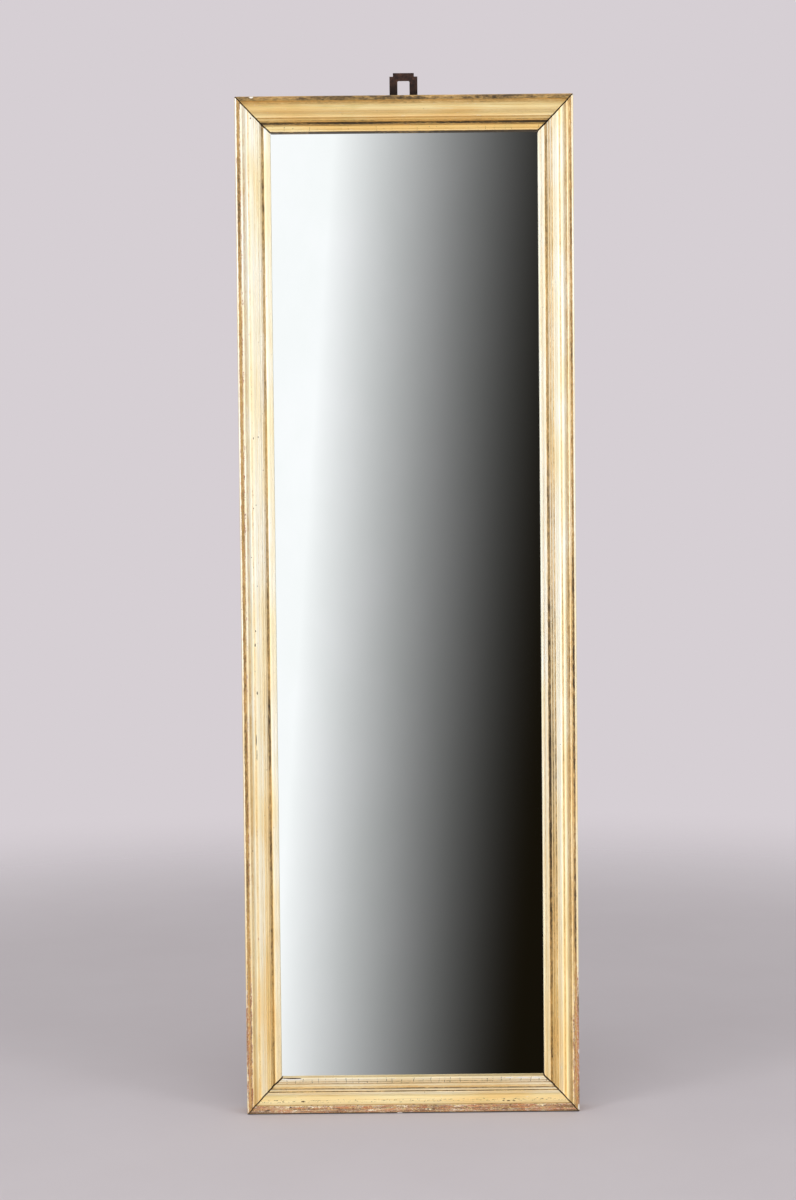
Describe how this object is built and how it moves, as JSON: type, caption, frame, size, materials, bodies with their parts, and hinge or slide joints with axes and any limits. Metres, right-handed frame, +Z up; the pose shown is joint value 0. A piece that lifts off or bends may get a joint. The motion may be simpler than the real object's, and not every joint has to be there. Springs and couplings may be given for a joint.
{
  "type": "pier mirror",
  "caption": "Tall narrow pier mirror: silvered plate in a mitred gilt moulding frame with a boarded back and a slotted iron hanger plate on its top rail.",
  "frame": {"origin": "middle of the bottom rail's underside, halfway through the frame's depth", "axes": "+Z up along the height, +Y out of the back towards the wall, -Y out of the glass towards the viewer, +X to the viewer's right"},
  "size_m": [0.527, 0.046, 1.6425],
  "materials": {
    "gilt_moulding": "water gilding on gesso and red-brown bole over pine, satin, rubbed through along its edges",
    "old_pine": "bare, aged and darkened softwood, dull",
    "birch_feather": "bare birch, dull",
    "silvered_glass": "clear plate silvered on its back, polished",
    "forged_iron": "forged, dark brown rust",
    "nail_iron": "dark rusted iron"
  },
  "bodies": {
    "root": {"top_rail": "gilt_moulding", "bottom_rail": "gilt_moulding", "left_stile": "gilt_moulding", "right_stile": "gilt_moulding", "mitre_key_bottom_left": "birch_feather", "mitre_key_top_left": "birch_feather", "mitre_key_top_right": "birch_feather", "mitre_key_bottom_right": "birch_feather", "mirror_glass": "silvered_glass", "glass_block_bottom_1": "old_pine", "glass_block_bottom_2": "old_pine", "glass_block_top_1": "old_pine", "glass_block_top_2": "old_pine", "glass_block_left_1": "old_pine", "glass_block_left_2": "old_pine", "glass_block_left_3": "old_pine", "glass_block_left_4": "old_pine", "glass_block_right_1": "old_pine", "glass_block_right_2": "old_pine", "glass_block_right_3": "old_pine", "glass_block_right_4": "old_pine", "backboard_1": "old_pine", "backboard_2": "old_pine", "backboard_3": "old_pine", "backboard_4": "old_pine", "backboard_5": "old_pine", "backboard_6": "old_pine", "board_nail_left_1": "nail_iron", "board_nail_left_2": "nail_iron", "board_nail_left_3": "nail_iron", "board_nail_left_4": "nail_iron", "board_nail_left_5": "nail_iron", "board_nail_left_6": "nail_iron", "board_nail_left_7": "nail_iron", "board_nail_left_8": "nail_iron", "board_nail_left_9": "nail_iron", "board_nail_left_10": "nail_iron", "board_nail_left_11": "nail_iron", "board_nail_left_12": "nail_iron", "board_nail_right_1": "nail_iron", "board_nail_right_2": "nail_iron", "board_nail_right_3": "nail_iron", "board_nail_right_4": "nail_iron", "board_nail_right_5": "nail_iron", "board_nail_right_6": "nail_iron", "board_nail_right_7": "nail_iron", "board_nail_right_8": "nail_iron", "board_nail_right_9": "nail_iron", "board_nail_right_10": "nail_iron", "board_nail_right_11": "nail_iron", "board_nail_right_12": "nail_iron", "hanger_plate": "forged_iron", "hanger_screw_1": "nail_iron", "hanger_screw_2": "nail_iron", "hanger_screw_3": "nail_iron", "hanger_screw_4": "nail_iron"}
  },
  "joints": []
}
